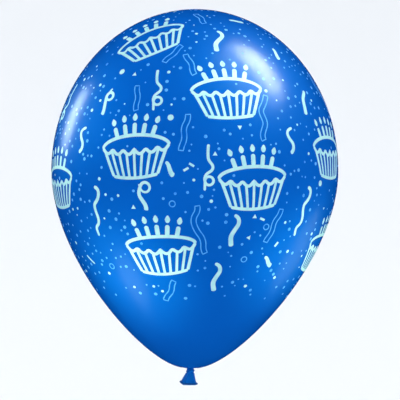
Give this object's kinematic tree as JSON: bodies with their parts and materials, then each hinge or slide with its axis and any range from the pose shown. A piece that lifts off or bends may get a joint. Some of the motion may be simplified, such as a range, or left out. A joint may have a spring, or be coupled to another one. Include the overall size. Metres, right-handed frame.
{
  "type": "latex balloon",
  "caption": "Inflated latex party balloon with a rounded crown and tapered underside, tied off by a knot above a loose flared tail with a rolled lip.",
  "frame": {"origin": "middle of the tie groove between the inflated body and the knot, on the balloon's axis", "axes": "+Z from the knot up to the crown, -Y towards the viewer, +X to the viewer's right"},
  "size_m": [0.28, 0.28, 0.3671],
  "materials": {
    "latex": "glossy",
    "print_ink": "satin"
  },
  "bodies": {
    "envelope": {"envelope": "latex"},
    "knot": {"neck": "latex", "knot": "latex"},
    "tail": {"tail": "latex", "lip": "latex"}
  },
  "joints": [
    {"name": "neck_swing", "type": "hinge", "parent": "envelope", "child": "knot", "pos_m": [0, 0, 0], "axis": [0, 1, 0], "range_deg": [-20, 20], "stiffness_Nm_per_rad": 0.0005},
    {"name": "tail_flex", "type": "hinge", "parent": "knot", "child": "tail", "pos_m": [0, 0, -0.007], "axis": [1, 0, 0], "range_deg": [-45, 45], "stiffness_Nm_per_rad": 0.0003}
  ]
}
